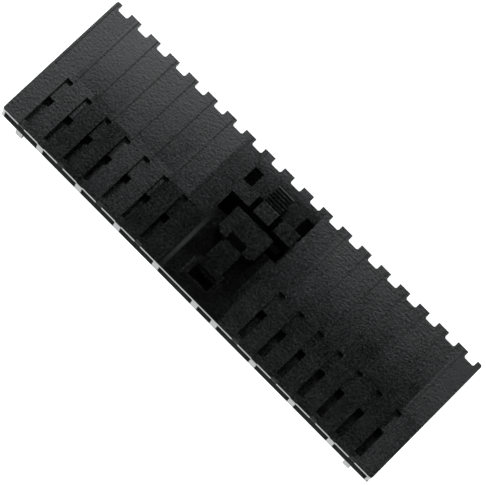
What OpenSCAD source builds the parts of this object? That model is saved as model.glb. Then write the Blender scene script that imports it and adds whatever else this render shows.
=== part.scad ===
// Crimp connector housing: one row, one moulding, with an integral latch in the middle of its upper face.
// X runs along the row, the mating face looks along -Y, the wires leave along +Y and the latch is on top.
// The origin is at the middle of the underside. All lengths are in millimetres.

/* [Row] */
// number of circuits; the latch takes the middle three and the rest come in pairs on each side
circuits = 19; // [11:4:27]
// distance between neighbouring circuits
pitch = 2.54; // [2.5:0.01:2.6]
// how much the row is shorter than its circuits times the pitch, so that housings can stand end to end
stack_play = 0.12; // [0.1:0.01:0.4]

/* [Body] */
// depth of the upper face from the mating edge to the wire edge
body_d = 14.54; // [14:0.01:15.5]
// thickness of the body without the latch
body_t = 3.4; // [3.3:0.05:4]
// radius of the four upright corners
corner_r = 0.25; // [0.1:0.05:0.4]

/* [Mating face] */
// thickness of the front wall, from the mating face to the start of the slots
front_d = 0.77; // [0.6:0.01:1]
// thickness of the web at the back of the front wall, behind the pin openings
web_t = 0.17; // [0.12:0.01:0.3]
// height of the rim over the pin openings
rim_t = 0.42; // [0.38:0.01:0.6]
// lower edge of the pin openings, measured down from the upper face
opening_low = 1.96; // [1.8:0.02:2.1]
// thickness of the two end walls at the pin openings
end_wall = 0.4; // [0.38:0.01:0.6]
// width of a contact cavity
contact_w = 1.1; // [1:0.02:1.2]
// thickness of the upper wall over the contact cavities
contact_roof = 0.6; // [0.55:0.05:0.7]
// height of the land under the pin openings, over the lead-in bevel
lead_land = 0.1; // [0.06:0.02:0.2]
// how far the lead-in bevel reaches back along the underside
lead_d = 0.4; // [0.36:0.02:0.5]
// width of the key ribs that stand in the lead-in bevel, at the first and last gap
key_w = 0.76; // [0.6:0.02:0.9]

/* [Finger slots] */
// width of the slots between the fingers, and of the posts in line with them
slot_w = 0.76; // [0.7:0.01:0.84]
// length of the deep part of a slot, behind the front wall
deep_l = 3.37; // [3:0.01:3.6]
// length of the shallow part of a slot
ledge_l = 2.31; // [2:0.01:2.5]
// depth of the shallow part of a slot
ledge_d = 0.7; // [0.5:0.05:0.75]
// how far the top of a tie between two fingers lies under the upper face
tie_low = 0.22; // [0.15:0.01:0.25]
// height of a tie, whose nose is half round
tie_h = 0.5; // [0.44:0.02:0.6]
// how far the nose of a tie stands back from the mating face
tie_back = 0.06; // [0.03:0.01:0.1]

/* [Wire end] */
// how far the teeth stand out past the wire edge
tooth_l = 0.66; // [0.4:0.02:0.8]
// width of the gap between two teeth
tooth_gap = 1.22; // [1.1:0.02:1.5]
// size of the bevel in the two inner corners of a gap
tooth_bevel = 0.12; // [0.08:0.02:0.3]
// width of a wire cavity
wire_w = 1.7; // [1.6:0.02:1.76]
// thickness of the upper wall over the wire cavities
wire_roof = 0.8; // [0.75:0.05:0.9]
// thickness of the lower wall under the wire cavities
wire_floor = 0.55; // [0.5:0.05:0.7]
// distance from the mating edge to the front of the wire cavities
wire_front = 6.9; // [6.6:0.05:7.2]
// width of the terminal window in the underside
window_w = 1; // [0.8:0.05:1.2]
// length of the terminal window in the underside
window_l = 1.8; // [1.4:0.1:2.2]
// distance from the front of the wire cavities to the terminal windows
window_in = 3.7; // [3.6:0.1:4]

/* [Latch recess] */
// half width of the latch recess
recess_half = 3.8; // [3.7:0.02:3.84]
// width of the sloping sides of the recess
recess_bevel = 0.6; // [0.4:0.05:0.8]
// depth of the recess
recess_d = 0.16; // [0.1:0.02:0.2]
// thickness of the lip that closes the recess at the mating edge
lip_t = 0.12; // [0.1:0.01:0.3]
// distance from the mating edge to the foot of the collar around the hole
collar_y = 0.85; // [0.7:0.05:0.95]
// half width of the collar at its foot
collar_half = 1.9; // [1.8:0.02:2]
// width of the collar's sloping sides
collar_slope = 0.4; // [0.3:0.05:0.45]
// length of the hole in front of the latch root
hole_l = 0.85; // [0.75:0.05:0.9]
// depth of the hole in front of the latch root
hole_d = 1.8; // [1.2:0.05:1.9]
// size of the bevel around the mouth of the hole
mouth_bevel = 0.2; // [0.1:0.02:0.24]
// free width between the latch head and each side of the trench under it
trench_play = 0.08; // [0.05:0.01:0.15]
// depth of the trench under the arm
trench_d = 0.42; // [0.34:0.02:0.46]
// how far the pit reaches in under the latch head
pit_in = 1.04; // [0.8:0.02:1.2]
// depth of the pit
pit_d = 2.2; // [1.8:0.1:2.4]

/* [Latch arm] */
// distance from the mating edge to the front of the stem
stem_y = 2.65; // [2.5:0.05:2.8]
// length of the stem
stem_l = 3.32; // [3.1:0.02:3.5]
// width of the stem
stem_w = 2.34; // [2.2:0.02:2.5]
// height of the stem over the upper face
stem_h = 0.75; // [0.65:0.05:0.85]
// length of the step in front of the stem
step_l = 0.25; // [0.15:0.05:0.35]
// height of the step over the upper face
step_h = 0.35; // [0.25:0.05:0.45]
// length of the root that joins the stem to the body
root_l = 0.85; // [0.6:0.05:1.2]
// free height between the arm and the upper face
arm_lift = 0.1; // [0.05:0.01:0.15]

/* [Latch head] */
// length of the head, from its front to its locking shoulder
head_l = 3.05; // [2.9:0.01:3.2]
// width of the head
head_w = 4.66; // [4.2:0.02:4.8]
// height of the head over the upper face
head_h = 1.3; // [1.1:0.05:1.5]
// width of the bevel at each front corner of the head
head_bevel_w = 0.68; // [0.4:0.02:0.8]
// length of the bevel at each front corner of the head
head_bevel_l = 0.5; // [0.3:0.02:0.7]
// width of the lead-in ramp
ramp_w = 2.06; // [1.6:0.02:2.2]
// distance from the front of the head to the foot of the lead-in ramp
ramp_in = 0.15; // [0:0.05:0.3]
// length of the lead-in ramp
ramp_l = 0.75; // [0.5:0.05:1]

/* [Thumb tab] */
// length of the neck between the locking shoulder and the thumb tab
neck_l = 0.37; // [0.3:0.01:0.5]
// thickness of the neck
neck_t = 0.35; // [0.3:0.05:0.5]
// width of the thumb tab
tab_w = 1.98; // [1.8:0.02:2.1]
// length of the thumb tab
tab_l = 3.55; // [3.5:0.01:3.75]
// height of the thumb tab over the upper face
tab_h = 2.2; // [2:0.05:2.4]
// thickness of the thumb tab
tab_t = 0.85; // [0.7:0.05:1]
// number of grip grooves in the thumb tab
groove_n = 6; // [4:1:6]
// distance between two grip grooves
groove_pitch = 0.35; // [0.33:0.01:0.36]
// width of a grip groove
groove_w = 0.19; // [0.14:0.01:0.22]
// depth of a grip groove
groove_d = 0.22; // [0.1:0.02:0.3]
// distance from the front of the thumb tab to the middle of the first grip groove
groove_in = 1.56; // [1.5:0.01:1.6]

/* [Guards] */
// free width between a guard and the thumb tab
guard_gap = 0.58; // [0.4:0.01:0.7]
// width of a guard
guard_w = 2.18; // [1.9:0.01:2.2]
// length of a guard
guard_l = 1.53; // [1.3:0.01:1.6]
// depth of the room under the thumb tab, between the guards
room_d = 0.5; // [0.3:0.05:0.55]
// width of the pocket behind a guard
pocket_w = 1.08; // [0.9:0.02:1.2]
// length of the pocket behind a guard
pocket_l = 2.37; // [2:0.01:2.5]
// depth of the pocket behind a guard
pocket_d = 0.5; // [0.3:0.05:0.55]
// how far the pocket reaches out past the guard
pocket_out = 0.15; // [0:0.05:0.2]

/* [Hidden] */
$fn = 32;
// overlap that keeps cuts and joins clean
eps = 0.05;
// overall length along the row
body_l = circuits * pitch - stack_play;
// overall depth with the teeth
all_d = body_d + tooth_l;
// circuits on each side of the latch
side = floor((circuits - 3) / 2);
// gaps between circuits that carry a slot: all but the ones at the latch
slot_gaps = [for (k = [1 : circuits - 1]) if (k < side || k > side + 3) k];
// gaps between circuits that carry a post on the mating face, with the two end walls
posts_left = [for (k = [2 : 2 : side + 2]) k];
posts_right = [for (k = [side + 3 : 2 : circuits - 1]) k];
post_gaps = concat([0], posts_left, posts_right, [circuits]);
// slotted gaps without a post, where the rim is open too
open_gaps = [for (k = slot_gaps) if (len(search(k, post_gaps)) == 0) k];
// distances of the latch's sections from the mating edge
step_y = stem_y - step_l;
hole_y = step_y - hole_l;
root_end = stem_y + root_l;
head_y = stem_y + stem_l;
head_end = head_y + head_l;
tab_y = head_end + neck_l;
tab_end = tab_y + tab_l;
guard_end = tab_y + guard_l;
pit_y = head_end - pit_in;
ramp_y = head_y + ramp_in;
// positions of the guards across the row
guard_from = tab_w / 2 + guard_gap;
guard_to = guard_from + guard_w;
// position along the row of the middle of a circuit and of a gap
function circuit_x(i) = (i - (circuits + 1) / 2) * pitch;
function gap_x(k) = (k - circuits / 2) * pitch;
// edges of a pin opening, clear of a post or of an end wall
function opening_from(k) = k == 0 ? -body_l / 2 + end_wall : gap_x(k) + slot_w / 2;
function opening_to(k) = k == circuits ? body_l / 2 - end_wall : gap_x(k) - slot_w / 2;

// a box given by its low corner and its high corner
module span(low, high) {
    translate(low) cube(high - low);
}

// a profile drawn in Y and Z, made into a bar of a given width across X
module bar(width) {
    rotate([90, 0, 90]) translate([0, 0, -width / 2]) linear_extrude(width) children();
}

// a profile drawn in X and Z, made into a bar between two distances from the mating edge
module rail(from, to) {
    translate([0, to, 0]) rotate([90, 0, 0]) linear_extrude(to - from) children();
}

// a plan drawn in X and Y, made solid between two heights
module slab(low, high) {
    translate([0, 0, low]) linear_extrude(high - low) children();
}

// plan of the body with rounded upright corners
module body_plan() {
    half = body_l / 2;
    translate([-half, corner_r]) square([body_l, all_d - 2 * corner_r]);
    translate([-half + corner_r, 0]) square([body_l - 2 * corner_r, all_d]);
    for (x = [-half + corner_r, half - corner_r], y = [corner_r, all_d - corner_r])
        translate([x, y]) circle(corner_r);
}

// plan of the gaps between the teeth
module tooth_gaps() {
    half = tooth_gap / 2;
    for (i = [1 : circuits])
        translate([circuit_x(i), body_d])
            polygon([
                [-half + tooth_bevel, 0], [half - tooth_bevel, 0], [half, tooth_bevel],
                [half, tooth_l + eps], [-half, tooth_l + eps], [-half, tooth_bevel],
            ]);
}

// one rectangle at every circuit, between two distances from the mating edge
module at_circuits(width, from, to) {
    for (i = [1 : circuits])
        translate([circuit_x(i) - width / 2, from]) square([width, to - from]);
}

// one rectangle at each of some gaps, between two distances from the mating edge
module at_gaps(gaps, width, from, to) {
    for (k = gaps)
        translate([gap_x(k) - width / 2, from]) square([width, to - from]);
}

// plan of the pin openings between the posts
module openings() {
    for (n = [0 : len(post_gaps) - 2]) {
        from = opening_from(post_gaps[n]);
        to = opening_to(post_gaps[n + 1]);
        translate([from, -eps]) square([to - from, front_d - web_t + eps]);
    }
}

// cavities for the contacts and wires, and the windows that hold the terminals
module cavities() {
    window_y = wire_front + window_in;
    slab(body_t - opening_low, body_t - rim_t) openings();
    slab(body_t - opening_low, body_t - contact_roof)
        at_circuits(contact_w, front_d - web_t - eps, wire_front + eps);
    slab(wire_floor, body_t - wire_roof) at_circuits(wire_w, wire_front, all_d + eps);
    slab(-eps, wire_floor + eps) at_circuits(window_w, window_y, window_y + window_l);
}

// slots between the fingers: through the rim or low over a post, deep behind it and shallow at the wire end
module finger_slots() {
    deep_end = front_d + deep_l;
    slab(body_t - tie_low, body_t + eps) at_gaps(slot_gaps, slot_w, -eps, front_d + eps);
    slab(body_t - rim_t - eps, body_t + eps) at_gaps(open_gaps, slot_w, -eps, front_d - web_t);
    slab(body_t - opening_low, body_t + eps) at_gaps(slot_gaps, slot_w, front_d, deep_end);
    slab(body_t - ledge_d, body_t + eps) at_gaps(slot_gaps, slot_w, deep_end - eps, deep_end + ledge_l);
}

// side profile of a tie, with its half-round nose
module tie_profile() {
    nose_r = tie_h / 2;
    nose_y = tie_back + nose_r;
    translate([nose_y, -tie_low - nose_r]) circle(nose_r);
    translate([nose_y, -tie_low - tie_h]) square([front_d - nose_y, tie_h]);
}

// ties that join neighbouring fingers across the slots
module ties() {
    for (k = slot_gaps)
        translate([gap_x(k), 0, body_t]) bar(slot_w + 2 * eps) tie_profile();
}

// lead-in bevel along the lower front edge, which leaves a key rib at the first and last gap
module lead_in() {
    lead_top = body_t - opening_low - lead_land;
    difference() {
        bar(body_l + 2 * eps)
            polygon([[-eps, -eps], [lead_d, -eps], [lead_d, 0], [0, lead_top], [-eps, lead_top]]);
        slab(-2 * eps, body_t) at_gaps([1, circuits - 1], key_w, -2 * eps, lead_d + eps);
    }
}

// collar around the hole: a land level with the upper face, with sloping front and sides
module collar() {
    ridge = collar_half - collar_slope;
    low = -recess_d - eps;
    intersection() {
        rail(collar_y, root_end)
            polygon([
                [-collar_half, low], [-collar_half, -recess_d], [-ridge, 0],
                [ridge, 0], [collar_half, -recess_d], [collar_half, low],
            ]);
        bar(2 * collar_half)
            polygon([
                [collar_y, low], [collar_y, -recess_d], [collar_y + collar_slope, 0],
                [root_end, 0], [root_end, low],
            ]);
    }
}

// shallow recess with sloping sides, which leaves the collar standing
module recess() {
    floor_half = recess_half - recess_bevel;
    difference() {
        rail(lip_t, pit_y + eps)
            polygon([
                [-recess_half, eps], [-recess_half, 0], [-floor_half, -recess_d],
                [floor_half, -recess_d], [recess_half, 0], [recess_half, eps],
            ]);
        collar();
    }
}

// hole in front of the latch root, with a bevelled mouth
module hole() {
    half = stem_w / 2;
    mouth = half + mouth_bevel;
    span([-half, hole_y, -hole_d], [half, step_y, eps]);
    intersection() {
        rail(hole_y - mouth_bevel, step_y)
            polygon([
                [-mouth, eps], [-mouth, 0], [-half, -mouth_bevel],
                [half, -mouth_bevel], [mouth, 0], [mouth, eps],
            ]);
        bar(2 * mouth)
            polygon([
                [hole_y - mouth_bevel, eps], [hole_y - mouth_bevel, 0], [hole_y, -mouth_bevel],
                [step_y, -mouth_bevel], [step_y, eps],
            ]);
    }
}

// trench that the arm bends down into, from the latch root to the pit
module trench() {
    half = head_w / 2 + trench_play;
    span([-half, root_end, -trench_d], [half, pit_y + eps, eps]);
}

// recess, hole, trench, pit, room and pockets around the latch
module latch_recess() {
    pocket_to = guard_to + pocket_out;
    translate([0, 0, body_t]) {
        recess();
        hole();
        trench();
        span([-recess_half, pit_y, -pit_d], [recess_half, tab_y, eps]);
        span([-guard_from, tab_y - eps, -room_d], [guard_from, guard_end, eps]);
        for (x = [-pocket_to, pocket_to - pocket_w])
            span([x, guard_end, -pocket_d], [x + pocket_w, guard_end + pocket_l, eps]);
    }
}

// fixed blocks on both sides of the thumb tab
module guards() {
    for (x = [-guard_to, guard_from])
        translate([0, 0, body_t])
            span([x, tab_y, -eps], [x + guard_w, guard_end, tab_h]);
}

// side profile of the stem with its step and its root
module stem_profile() {
    root_z = -recess_d - eps;
    polygon([
        [step_y, root_z], [step_y, step_h], [stem_y, step_h], [stem_y, stem_h],
        [head_y + eps, stem_h], [head_y + eps, arm_lift], [root_end, arm_lift], [root_end, root_z],
    ]);
}

// side profile of the neck and of the thumb tab that it carries
module tab_profile() {
    under = tab_h - tab_t;
    riser_end = tab_y + tab_t;
    polygon([
        [head_end - eps, arm_lift], [head_end - eps, arm_lift + neck_t], [tab_y, arm_lift + neck_t],
        [tab_y, tab_h], [tab_end, tab_h], [tab_end, under], [riser_end, under], [riser_end, arm_lift],
    ]);
}

// plan of the latch head with its two front bevels
module head_plan() {
    half = head_w / 2;
    front = half - head_bevel_w;
    bevel_end = head_y + head_bevel_l;
    polygon([
        [-front, head_y], [front, head_y], [half, bevel_end],
        [half, head_end], [-half, head_end], [-half, bevel_end],
    ]);
}

// latch arm: stem, head with lead-in ramp and locking shoulder, and thumb tab with grip grooves
module latch() {
    translate([0, 0, body_t])
        difference() {
            union() {
                bar(stem_w) stem_profile();
                slab(arm_lift, head_h) head_plan();
                bar(tab_w) tab_profile();
            }
            bar(ramp_w)
                polygon([
                    [head_y - eps, stem_h], [ramp_y, stem_h],
                    [ramp_y + ramp_l, head_h], [ramp_y + ramp_l, head_h + eps], [head_y - eps, head_h + eps],
                ]);
            for (n = [0 : groove_n - 1])
                translate([0, tab_y + groove_in + n * groove_pitch - groove_w / 2, tab_h - groove_d])
                    span([-tab_w, 0, 0], [tab_w, groove_w, groove_d + eps]);
        }
}

// the whole moulding
module housing() {
    color([0.035, 0.035, 0.037])
        translate([0, -all_d / 2, 0]) {
            difference() {
                linear_extrude(body_t) difference() {
                    body_plan();
                    tooth_gaps();
                }
                cavities();
                finger_slots();
                lead_in();
                latch_recess();
            }
            ties();
            guards();
            latch();
        }
}

housing();
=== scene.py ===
import math

import bpy
from mathutils import Matrix, Vector


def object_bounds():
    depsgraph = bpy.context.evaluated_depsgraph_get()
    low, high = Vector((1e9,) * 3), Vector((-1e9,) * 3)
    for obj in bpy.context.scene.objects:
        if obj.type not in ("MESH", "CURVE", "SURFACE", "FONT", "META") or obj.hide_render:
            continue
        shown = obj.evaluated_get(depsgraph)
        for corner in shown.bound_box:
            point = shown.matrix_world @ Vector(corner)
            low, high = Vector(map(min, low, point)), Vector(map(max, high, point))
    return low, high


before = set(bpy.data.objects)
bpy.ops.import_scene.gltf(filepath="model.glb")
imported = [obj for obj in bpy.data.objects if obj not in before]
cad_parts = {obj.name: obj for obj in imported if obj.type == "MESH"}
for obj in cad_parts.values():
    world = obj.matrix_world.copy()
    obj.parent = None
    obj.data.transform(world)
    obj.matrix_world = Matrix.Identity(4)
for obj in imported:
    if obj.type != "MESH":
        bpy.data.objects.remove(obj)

CAD_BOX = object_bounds()
MM = 0.001

# The housing, in millimetres as all places below
PITCH = 2.54
CIRCUITS = 19
ROW_HALF = CIRCUITS / 2 * PITCH
MATING_Y = CAD_BOX[0][1] / MM
END_FACE = CAD_BOX[1][0] / MM
UPPER_FACE = 3.4

# Distances from the middle of the row
GAP_HALF = 1.57
COLLAR_HALF = 1.9
SLOPE_FROM = 3.2
SLOPE_TO = 3.8
LATCH_HALF = 3.9
WITNESS_FROM = 4.5
RIGHT_FROM = 2 * PITCH
BESIDE_HALF = 6.3

# Distances from the mating edge
MATING_SKIN = 0.01
NOSE_END = 0.2
FRONT_WALL = 0.77
COLLAR_FROM = 0.85
COLLAR_TO = 3.0
SHELF_FROM = 2.0
SHELF_TO = 3.5
FINGER_MIDDLE = 3.3
FINGER_END = 6.45
LEDGE_END_FROM = FINGER_END - 0.25
BORDER = FINGER_END + 0.4
WIRE_FROM = 8.0
ROOM_FROM = 8.1
GUARD_FROM = 9.0
GUARD_END = 10.92
GAP_END = 11.45
TAB_EDGE = 12.8
BLOCK_RISE_FROM = 13.8

# Depths below the upper face, negative above it
TAB_GROOVE = -2.1
TAB_UNDER = -1.5
RAISED = -0.2
COLLAR_TOP = 0.015
SUNK = 0.03
COLLAR_FOOT = 0.12
TIE_DEPTH = 0.2
LEDGE_DEPTH = 0.7
OPENING_DEPTH = 1.5

# Distance from the middle of a gap between two circuits to the side of its slot
SLOT_EDGE = 0.36

# Widths over which one finish turns into the next
CRISP = 0.03
SHARP = 0.05
SOFT = 0.1
SLOPE_SOFT = 0.15

# Camera, fitted to the photograph's frame
PHOTO_WIDTH = 486
FOCAL_PX = 3184.2
SENSOR_WIDTH = 36.0
CLIP_NEAR = 0.01
CLIP_FAR = 10.0
CAMERA_DISTANCE = 294.53 * MM
CAMERA_AZIMUTH = 10.486
CAMERA_ELEVATION = 73.872
CAMERA_ROLL = 35.065
CAMERA_TARGET = Vector((0.336, MATING_Y + 7.216, UPPER_FACE)) * MM

# Lamps: name, azimuth and elevation in degrees seen from the object, distance, width and height in metres,
# and watts. The strip lights only the left slope of the latch recess.
# The top lamp is there for views from above.
LAMPS = (
    ("key", 200.0, 50.5, 0.30, 0.22, 0.22, 0.48),
    ("strip", 120.9, 61.3, 0.30, 0.009, 0.05, 0.0010),
    ("top", 0.0, 90.0, 0.30, 0.12, 0.04, 0.03),
    ("front_left", 300.0, 35.0, 0.45, 0.25, 0.25, 1.7),
    ("front_right", 60.0, 35.0, 0.45, 0.25, 0.25, 1.7),
)
LAMP_COLOUR = (0.95, 0.99, 1.0)

# World, with heights and sides as parts of a unit direction
WORLD_COLOUR = (1.0, 1.0, 1.0, 1.0)
WORLD_STRENGTH = 0.006
LOW_GLOW = 0.33
GLOW_TOP_FRONT = 0.22
GLOW_TOP_BACK = 0.55
GLOW_FADE = 0.15
GLOW_FRONT_SIDE = -0.2
GLOW_BACK_SIDE = 0.3

# Floor
FLOOR_SIZE = 3.0
FLOOR_COLOUR = (0.9, 0.9, 0.9, 1.0)
FLOOR_GLOW = 0.65

# Finish of the fingers and slots, as roughness
FINGER_FINISH = 0.175
COARSE_FINGER = 0.185
FINE_FINGER = 0.14
FINGER_SPREAD = 0.0013
FINGER_FALL = 0.005
END_FINGER_EXTRA = 0.06
SLOT_FLOOR_FINISH = 0.155
LEDGE_END_FINISH = 0.8

# Finish of the wire half, left and right of the latch
WIRE_LEFT = 0.158
WIRE_RIGHT = 0.174
WIRE_RISE_LEFT = 0.003
WIRE_RISE_RIGHT = 0.013
WIRE_SPREAD = 0.0008
END_WIRE_LEFT = 0.05
END_WIRE_RIGHT = 0.1
BESIDE_LATCH = -0.008
BESIDE_FALL = -0.008
PANEL_SPREAD = 0.035
PANEL_SEED = 20785.0
BORDER_SEED = 23194.0

# Finish of the latch and of what lies around it
LATCH_FINISH = 0.132
RIB_FINISH = 0.102
TAB_EDGE_FINISH = 0.4
BLOCK_FINISH = 0.107
BLOCK_RISE = 0.06
POLISHED = 0.095
FRONT_POLISHED = 0.125
POCKET_FINISH = 0.045
COLLAR_FINISH = 0.23
SLOPE_LEFT = 0.07
SLOPE_LEFT_EDGE = 0.25
SLOPE_RIGHT = 0.11

# Finish of the mating side, and of the two ends and the underside
MATING_FINISH = 0.10
OPENING_FINISH = 0.8
PLAIN_FINISH = 0.2

# Colour and gloss of the plastic
PLASTIC_DARK = (0.0004, 0.0004, 0.0005, 1.0)
PLASTIC_LIGHT = (0.0009, 0.0009, 0.0010, 1.0)
IOR = 1.52

# Noises, each with its features for each millimetre and its detail
COLOUR_NOISE = (1.1, 4.0)
MOTTLE_NOISE = (0.6, 3.0)
SPECK_NOISE = (4.4, 2.0)
GRAIN_NOISE = (3.2, 2.0)
NOISE_MEAN = 0.5

# Share of the finish that mottling and specks add or take away
MOTTLE = 0.5
SPECKS = 1.2

# Fine relief, in millimetres. The grain has its depth at GRAIN_FINISH and grows with a power of the finish.
GRAIN_DEPTH = 0.0038
GRAIN_FINISH = 0.18
GRAIN_POWER = 2.5
GRAIN_MOST = 5.0
WITNESS_DEPTH = 0.035
WITNESS_HALF = 0.02
EDGE_RADIUS = 0.013
EDGE_SAMPLES = 6


def direction(azimuth, elevation):
    """Unit vector from the object to a place, with azimuth 0 on the mating side."""
    a = math.radians(azimuth)
    e = math.radians(elevation)
    return Vector((math.sin(a) * math.cos(e), -math.cos(a) * math.cos(e), math.sin(e)))


def aim(obj, place, target, roll=0.0):
    """Puts a camera or a lamp at a place, looking at a target and turned by roll degrees."""
    look = (target - place).to_track_quat("-Z", "Y").to_matrix().to_4x4()
    turn = Matrix.Rotation(math.radians(roll), 4, "Z")
    obj.matrix_world = Matrix.Translation(place) @ look @ turn


def add_object(name, data):
    obj = bpy.data.objects.new(name, data)
    bpy.context.scene.collection.objects.link(obj)
    return obj


def add_camera():
    data = bpy.data.cameras.new("camera")
    data.sensor_width = SENSOR_WIDTH
    data.lens = FOCAL_PX / PHOTO_WIDTH * SENSOR_WIDTH
    data.clip_start = CLIP_NEAR
    data.clip_end = CLIP_FAR
    camera = add_object("camera", data)
    place = CAMERA_TARGET + direction(CAMERA_AZIMUTH, CAMERA_ELEVATION) * CAMERA_DISTANCE
    aim(camera, place, CAMERA_TARGET, CAMERA_ROLL)
    bpy.context.scene.camera = camera


def add_lamps():
    origin = Vector((0, 0, 0))
    for name, azimuth, elevation, distance, width, height, power in LAMPS:
        data = bpy.data.lights.new(name, "AREA")
        data.shape = "RECTANGLE"
        data.size = width
        data.size_y = height
        data.energy = power
        data.color = LAMP_COLOUR
        lamp = add_object(name, data)
        aim(lamp, direction(azimuth, elevation) * distance, origin)


class Graph:
    """The node tree of a material or the world, with short calls for the nodes that come up often."""

    def __init__(self, owner):
        self.owner = owner
        owner.use_nodes = True
        self.tree = owner.node_tree

    def node(self, kind, **settings):
        node = self.tree.nodes.new(kind)
        for name, value in settings.items():
            setattr(node, name, value)
        return node

    def feed(self, socket, value):
        """Links a socket to another one, or sets it to a plain value."""
        if isinstance(value, bpy.types.NodeSocket):
            self.tree.links.new(value, socket)
        else:
            socket.default_value = value

    def math(self, operation, *values):
        node = self.node("ShaderNodeMath", operation=operation)
        for socket, value in zip(node.inputs, values):
            self.feed(socket, value)
        return node.outputs[0]

    def add(self, first, *rest):
        for value in rest:
            first = self.math("ADD", first, value)
        return first

    def minus(self, first, second):
        return self.math("SUBTRACT", first, second)

    def times(self, first, *rest):
        for value in rest:
            first = self.math("MULTIPLY", first, value)
        return first

    def beyond(self, value, place):
        """How far a value lies past a place, and 0 before it."""
        return self.math("MAXIMUM", self.minus(value, place), 0.0)

    def rise(self, value, low, high):
        """Goes smoothly from 0 where a value is at low to 1 where it is at high."""
        node = self.node("ShaderNodeMapRange", interpolation_type="SMOOTHSTEP")
        self.feed(node.inputs["Value"], value)
        self.feed(node.inputs["From Min"], low)
        self.feed(node.inputs["From Max"], high)
        return node.outputs["Result"]

    def past(self, value, place, width):
        """0 up to a place, then 1, turning over a width."""
        return self.rise(value, place, place + width)

    def before(self, value, place, width):
        """1 up to a place, then 0, turning over a width."""
        return self.minus(1.0, self.past(value, place, width))

    def blend(self, first, second, share):
        node = self.node("ShaderNodeMix", data_type="FLOAT")
        self.feed(node.inputs[0], share)
        self.feed(node.inputs[2], first)
        self.feed(node.inputs[3], second)
        return node.outputs[0]

    def noise(self, vector, scale, detail):
        """Noise from 0 to 1 with a scale in features for each millimetre."""
        node = self.node("ShaderNodeTexNoise")
        self.feed(node.inputs["Vector"], vector)
        node.inputs["Scale"].default_value = scale
        node.inputs["Detail"].default_value = detail
        return node.outputs["Fac"]

    def chance(self, number, seed):
        """A value from -0.5 to 0.5 that a whole number and a seed pick."""
        node = self.node("ShaderNodeTexWhiteNoise", noise_dimensions="1D")
        self.feed(node.inputs["W"], self.add(number, seed))
        return self.minus(node.outputs["Value"], NOISE_MEAN)

    def place(self):
        """The place on the object in millimetres, as a vector and as its three numbers."""
        source = self.node("ShaderNodeTexCoord")
        scaled = self.node("ShaderNodeVectorMath", operation="SCALE")
        scaled.inputs["Scale"].default_value = 1 / MM
        self.feed(scaled.inputs[0], source.outputs["Object"])
        split = self.node("ShaderNodeSeparateXYZ")
        self.feed(split.inputs[0], scaled.outputs[0])
        return scaled.outputs[0], split.outputs[0], split.outputs[1], split.outputs[2]


def add_world():
    """A dark studio with a low glow around it, higher on the wire side, for views from low down."""
    graph = Graph(bpy.data.worlds.new("studio"))
    source = graph.node("ShaderNodeTexCoord")
    split = graph.node("ShaderNodeSeparateXYZ")
    graph.feed(split.inputs[0], source.outputs["Generated"])
    back = graph.rise(split.outputs[1], GLOW_FRONT_SIDE, GLOW_BACK_SIDE)
    top = graph.blend(GLOW_TOP_FRONT, GLOW_TOP_BACK, back)
    over_top = graph.minus(split.outputs[2], top)
    glow = graph.times(graph.before(over_top, 0.0, GLOW_FADE), LOW_GLOW)
    background = graph.tree.nodes["Background"]
    background.inputs["Color"].default_value = WORLD_COLOUR
    graph.feed(background.inputs["Strength"], graph.add(glow, WORLD_STRENGTH))
    bpy.context.scene.world = graph.owner


def floor_material():
    graph = Graph(bpy.data.materials.new("white_floor"))
    graph.tree.nodes.clear()
    diffuse = graph.node("ShaderNodeBsdfDiffuse")
    diffuse.inputs["Color"].default_value = FLOOR_COLOUR
    path = graph.node("ShaderNodeLightPath")
    seen = graph.times(path.outputs["Is Camera Ray"], FLOOR_GLOW)
    glow = graph.node("ShaderNodeEmission")
    graph.feed(glow.inputs["Strength"], graph.add(seen, path.outputs["Is Glossy Ray"]))
    both = graph.node("ShaderNodeAddShader")
    graph.feed(both.inputs[0], diffuse.outputs[0])
    graph.feed(both.inputs[1], glow.outputs[0])
    output = graph.node("ShaderNodeOutputMaterial")
    graph.feed(output.inputs["Surface"], both.outputs[0])
    return graph.owner


def add_floor():
    half = FLOOR_SIZE / 2
    mesh = bpy.data.meshes.new("floor")
    corners = [(-half, -half, 0), (half, -half, 0), (half, half, 0), (-half, half, 0)]
    mesh.from_pydata(corners, [], [(0, 1, 2, 3)])
    mesh.materials.append(floor_material())
    add_object("floor", mesh)


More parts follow.
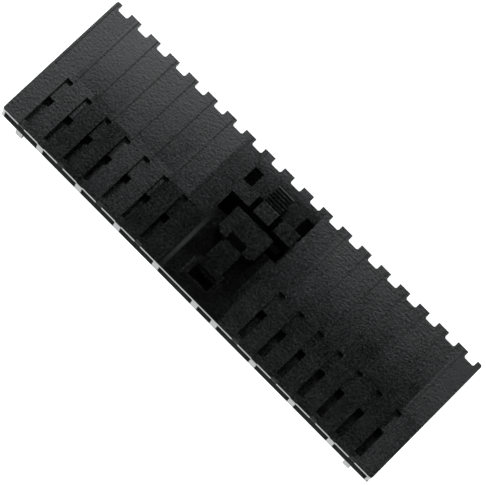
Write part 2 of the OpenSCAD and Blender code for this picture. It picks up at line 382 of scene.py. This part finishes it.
def panel_finish(graph, x, reach, along, depth):
    """Finish of the fingers and of the wire half, which differs from panel to panel."""
    left = graph.before(x, 0.0, SOFT)
    right = graph.minus(1.0, left)
    to_right_end = graph.beyond(x, RIGHT_FROM)
    from_end = graph.minus(ROW_HALF, reach)
    end_panel = graph.before(from_end, PITCH - SOFT, SOFT)

    # Each mould insert forms two fingers, and every other insert left of the latch has a coarser face
    pair = graph.math("FLOOR", graph.times(from_end, 1 / (2 * PITCH)))
    fine = graph.math("MODULO", pair, 2.0)
    not_coarse = graph.blend(1.0, fine, left)
    finger = graph.add(
        graph.blend(FINGER_FINISH, graph.blend(COARSE_FINGER, FINE_FINGER, fine), left),
        graph.times(to_right_end, FINGER_SPREAD),
        graph.times(not_coarse, graph.minus(FINGER_MIDDLE, along), FINGER_FALL),
        graph.times(end_panel, END_FINGER_EXTRA),
    )

    # Right of the latch the deep slot floors are finer, and each ledge ends in a coarse, dull strip
    deep = graph.times(graph.past(depth, OPENING_DEPTH, SOFT), right)
    finger = graph.blend(finger, SLOT_FLOOR_FINISH, deep)
    ledge_end = graph.times(
        graph.past(depth, LEDGE_DEPTH - SOFT, SHARP),
        graph.before(depth, LEDGE_DEPTH + SHARP, SHARP),
        graph.past(along, LEDGE_END_FROM, SOFT),
    )
    finger = graph.blend(finger, LEDGE_END_FINISH, ledge_end)

    # The wire half gets coarser towards the wire edge and the two ends
    panel = graph.math("FLOOR", graph.times(graph.add(x, ROW_HALF), 1 / PITCH))
    to_wires = graph.beyond(along, WIRE_FROM)
    beside_latch = graph.before(reach, BESIDE_HALF, SOFT)
    wire = graph.add(
        graph.blend(WIRE_RIGHT, WIRE_LEFT, left),
        graph.times(to_wires, graph.blend(WIRE_RISE_RIGHT, WIRE_RISE_LEFT, left)),
        graph.times(end_panel, graph.blend(END_WIRE_RIGHT, END_WIRE_LEFT, left)),
        graph.times(beside_latch, graph.add(BESIDE_LATCH, graph.times(to_wires, BESIDE_FALL))),
        graph.times(graph.chance(panel, PANEL_SEED), PANEL_SPREAD),
        graph.times(to_right_end, WIRE_SPREAD),
    )
    border = graph.add(graph.chance(panel, BORDER_SEED), BORDER)
    return graph.blend(finger, wire, graph.past(graph.minus(along, border), 0.0, SOFT))


def latch_finish(graph, x, reach, along, depth):
    """Finish of the latch and of what lies around it, with polished sunk faces."""
    low = graph.past(depth, RAISED, SOFT)

    # Behind the guards come the ribs of the thumb tab, with a coarse rear edge, and the block under it
    behind = graph.past(along, GUARD_END, SHARP)
    ribs = graph.blend(RIB_FINISH, TAB_EDGE_FINISH, graph.past(along, TAB_EDGE, CRISP))
    block = graph.add(BLOCK_FINISH, graph.times(graph.beyond(along, BLOCK_RISE_FROM), BLOCK_RISE))
    finish = graph.blend(LATCH_FINISH, graph.blend(ribs, block, low), behind)

    # Sunk faces, the grooves of the tab and the gaps beside it are polished
    shelf = graph.blend(FRONT_POLISHED, POLISHED, graph.rise(along, SHELF_FROM, SHELF_TO))
    sunk = graph.blend(shelf, POCKET_FINISH, graph.past(along, ROOM_FROM, SOFT))
    finish = graph.blend(finish, sunk, graph.past(depth, SUNK, SHARP))
    grooves = graph.times(
        behind,
        graph.past(depth, TAB_GROOVE, SHARP),
        graph.before(depth, TAB_UNDER, SOFT),
    )
    gaps = graph.times(
        low,
        graph.past(along, GUARD_FROM, SOFT),
        graph.before(along, GAP_END, SOFT),
        graph.before(reach, GAP_HALF, SHARP),
    )
    finish = graph.blend(finish, POCKET_FINISH, graph.math("MAXIMUM", grooves, gaps))

    # The slopes of the collar round the hole are coarse
    collar = graph.times(
        graph.before(reach, COLLAR_HALF - SHARP, SHARP),
        graph.past(along, COLLAR_FROM, SHARP),
        graph.before(along, COLLAR_TO, SOFT),
        graph.past(depth, COLLAR_TOP, CRISP),
        graph.before(depth, COLLAR_FOOT, CRISP),
    )
    finish = graph.blend(finish, COLLAR_FINISH, collar)

    # The recess has sloping sides, the left one with soft edges
    slope = graph.times(
        graph.past(reach, SLOPE_FROM - SHARP, SOFT),
        graph.before(reach, SLOPE_TO - CRISP, CRISP),
        graph.before(along, ROOM_FROM, SOFT),
    )
    middle = graph.times(
        graph.past(reach, SLOPE_FROM, SLOPE_SOFT),
        graph.before(reach, SLOPE_TO - SLOPE_SOFT, SLOPE_SOFT),
    )
    left_side = graph.blend(SLOPE_LEFT_EDGE, SLOPE_LEFT, middle)
    side = graph.blend(left_side, SLOPE_RIGHT, graph.past(x, 0.0, SOFT))
    return graph.blend(finish, side, slope)


def moulded_finish(graph, x, reach, along, depth):
    """Finish of the whole moulding, as roughness."""
    finish = graph.blend(
        panel_finish(graph, x, reach, along, depth),
        latch_finish(graph, x, reach, along, depth),
        graph.before(reach, LATCH_HALF, SHARP),
    )

    # The mating face is smooth, and the pin openings and the tie noses at gaps without posts are coarse
    opening = graph.times(
        graph.past(depth, OPENING_DEPTH, SOFT),
        graph.before(along, FRONT_WALL, SHARP),
    )
    gap = graph.math("ROUND", graph.times(graph.minus(ROW_HALF, reach), 1 / PITCH))
    nose = graph.times(
        graph.math("MODULO", gap, 2.0),
        graph.past(depth, TIE_DEPTH, SHARP),
        graph.before(along, NOSE_END, SOFT),
    )
    finish = graph.blend(finish, OPENING_FINISH, graph.math("MAXIMUM", opening, nose))
    finish = graph.blend(finish, MATING_FINISH, graph.before(along, MATING_SKIN, CRISP))

    # The two ends and the underside have one plain finish
    end = graph.past(reach, END_FACE - CRISP, CRISP)
    under = graph.past(depth, UPPER_FACE - CRISP, CRISP)
    return graph.blend(finish, PLAIN_FINISH, graph.math("MAXIMUM", end, under))


def moulded_relief(graph, vector, x, reach, along, finish):
    """Normals with softened edges, a fine grain and the witness lines of the mould inserts."""

    # A witness line runs from one side of each slot to the teeth
    cycle = graph.math("FRACT", graph.times(graph.minus(x, SLOT_EDGE), 1 / PITCH))
    off_line = graph.times(graph.math("ABSOLUTE", graph.minus(cycle, 0.5)), PITCH)
    witness = graph.times(
        graph.before(off_line, WITNESS_HALF, SHARP),
        graph.past(along, FINGER_END, SOFT),
        graph.past(reach, WITNESS_FROM, SOFT),
        WITNESS_DEPTH,
    )

    # The grain is deeper where the finish is coarser
    coarseness = graph.math("POWER", graph.times(finish, 1 / GRAIN_FINISH), GRAIN_POWER)
    grain = graph.times(
        graph.noise(vector, *GRAIN_NOISE),
        graph.math("MINIMUM", coarseness, GRAIN_MOST),
        GRAIN_DEPTH,
    )

    edges = graph.node("ShaderNodeBevel", samples=EDGE_SAMPLES)
    edges.inputs["Radius"].default_value = EDGE_RADIUS * MM
    bump = graph.node("ShaderNodeBump")
    bump.inputs["Distance"].default_value = MM
    graph.feed(bump.inputs["Height"], graph.minus(grain, witness))
    graph.feed(bump.inputs["Normal"], edges.outputs["Normal"])
    return bump.outputs["Normal"]


def black_plastic():
    graph = Graph(bpy.data.materials.new("black_plastic"))
    vector, x, y, z = graph.place()
    along = graph.minus(y, MATING_Y)
    depth = graph.minus(UPPER_FACE, z)
    reach = graph.math("ABSOLUTE", x)

    # Soft mottling and specks vary the finish
    mottle = graph.minus(graph.noise(vector, *MOTTLE_NOISE), NOISE_MEAN)
    specks = graph.minus(graph.noise(vector, *SPECK_NOISE), NOISE_MEAN)
    variation = graph.add(1.0, graph.times(mottle, MOTTLE), graph.times(specks, SPECKS))
    finish = graph.times(moulded_finish(graph, x, reach, along, depth), variation)

    colour = graph.node("ShaderNodeMix", data_type="RGBA")
    graph.feed(colour.inputs[0], graph.noise(vector, *COLOUR_NOISE))
    colour.inputs[6].default_value = PLASTIC_DARK
    colour.inputs[7].default_value = PLASTIC_LIGHT

    shader = graph.tree.nodes["Principled BSDF"]
    shader.inputs["IOR"].default_value = IOR
    graph.feed(shader.inputs["Base Color"], colour.outputs[2])
    graph.feed(shader.inputs["Roughness"], finish)
    graph.feed(shader.inputs["Normal"], moulded_relief(graph, vector, x, reach, along, finish))
    return graph.owner


add_camera()
add_lamps()
add_world()
add_floor()

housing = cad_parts["housing"]
housing.data.materials.clear()
housing.data.materials.append(black_plastic())

bpy.context.scene.view_settings.view_transform = "Standard"
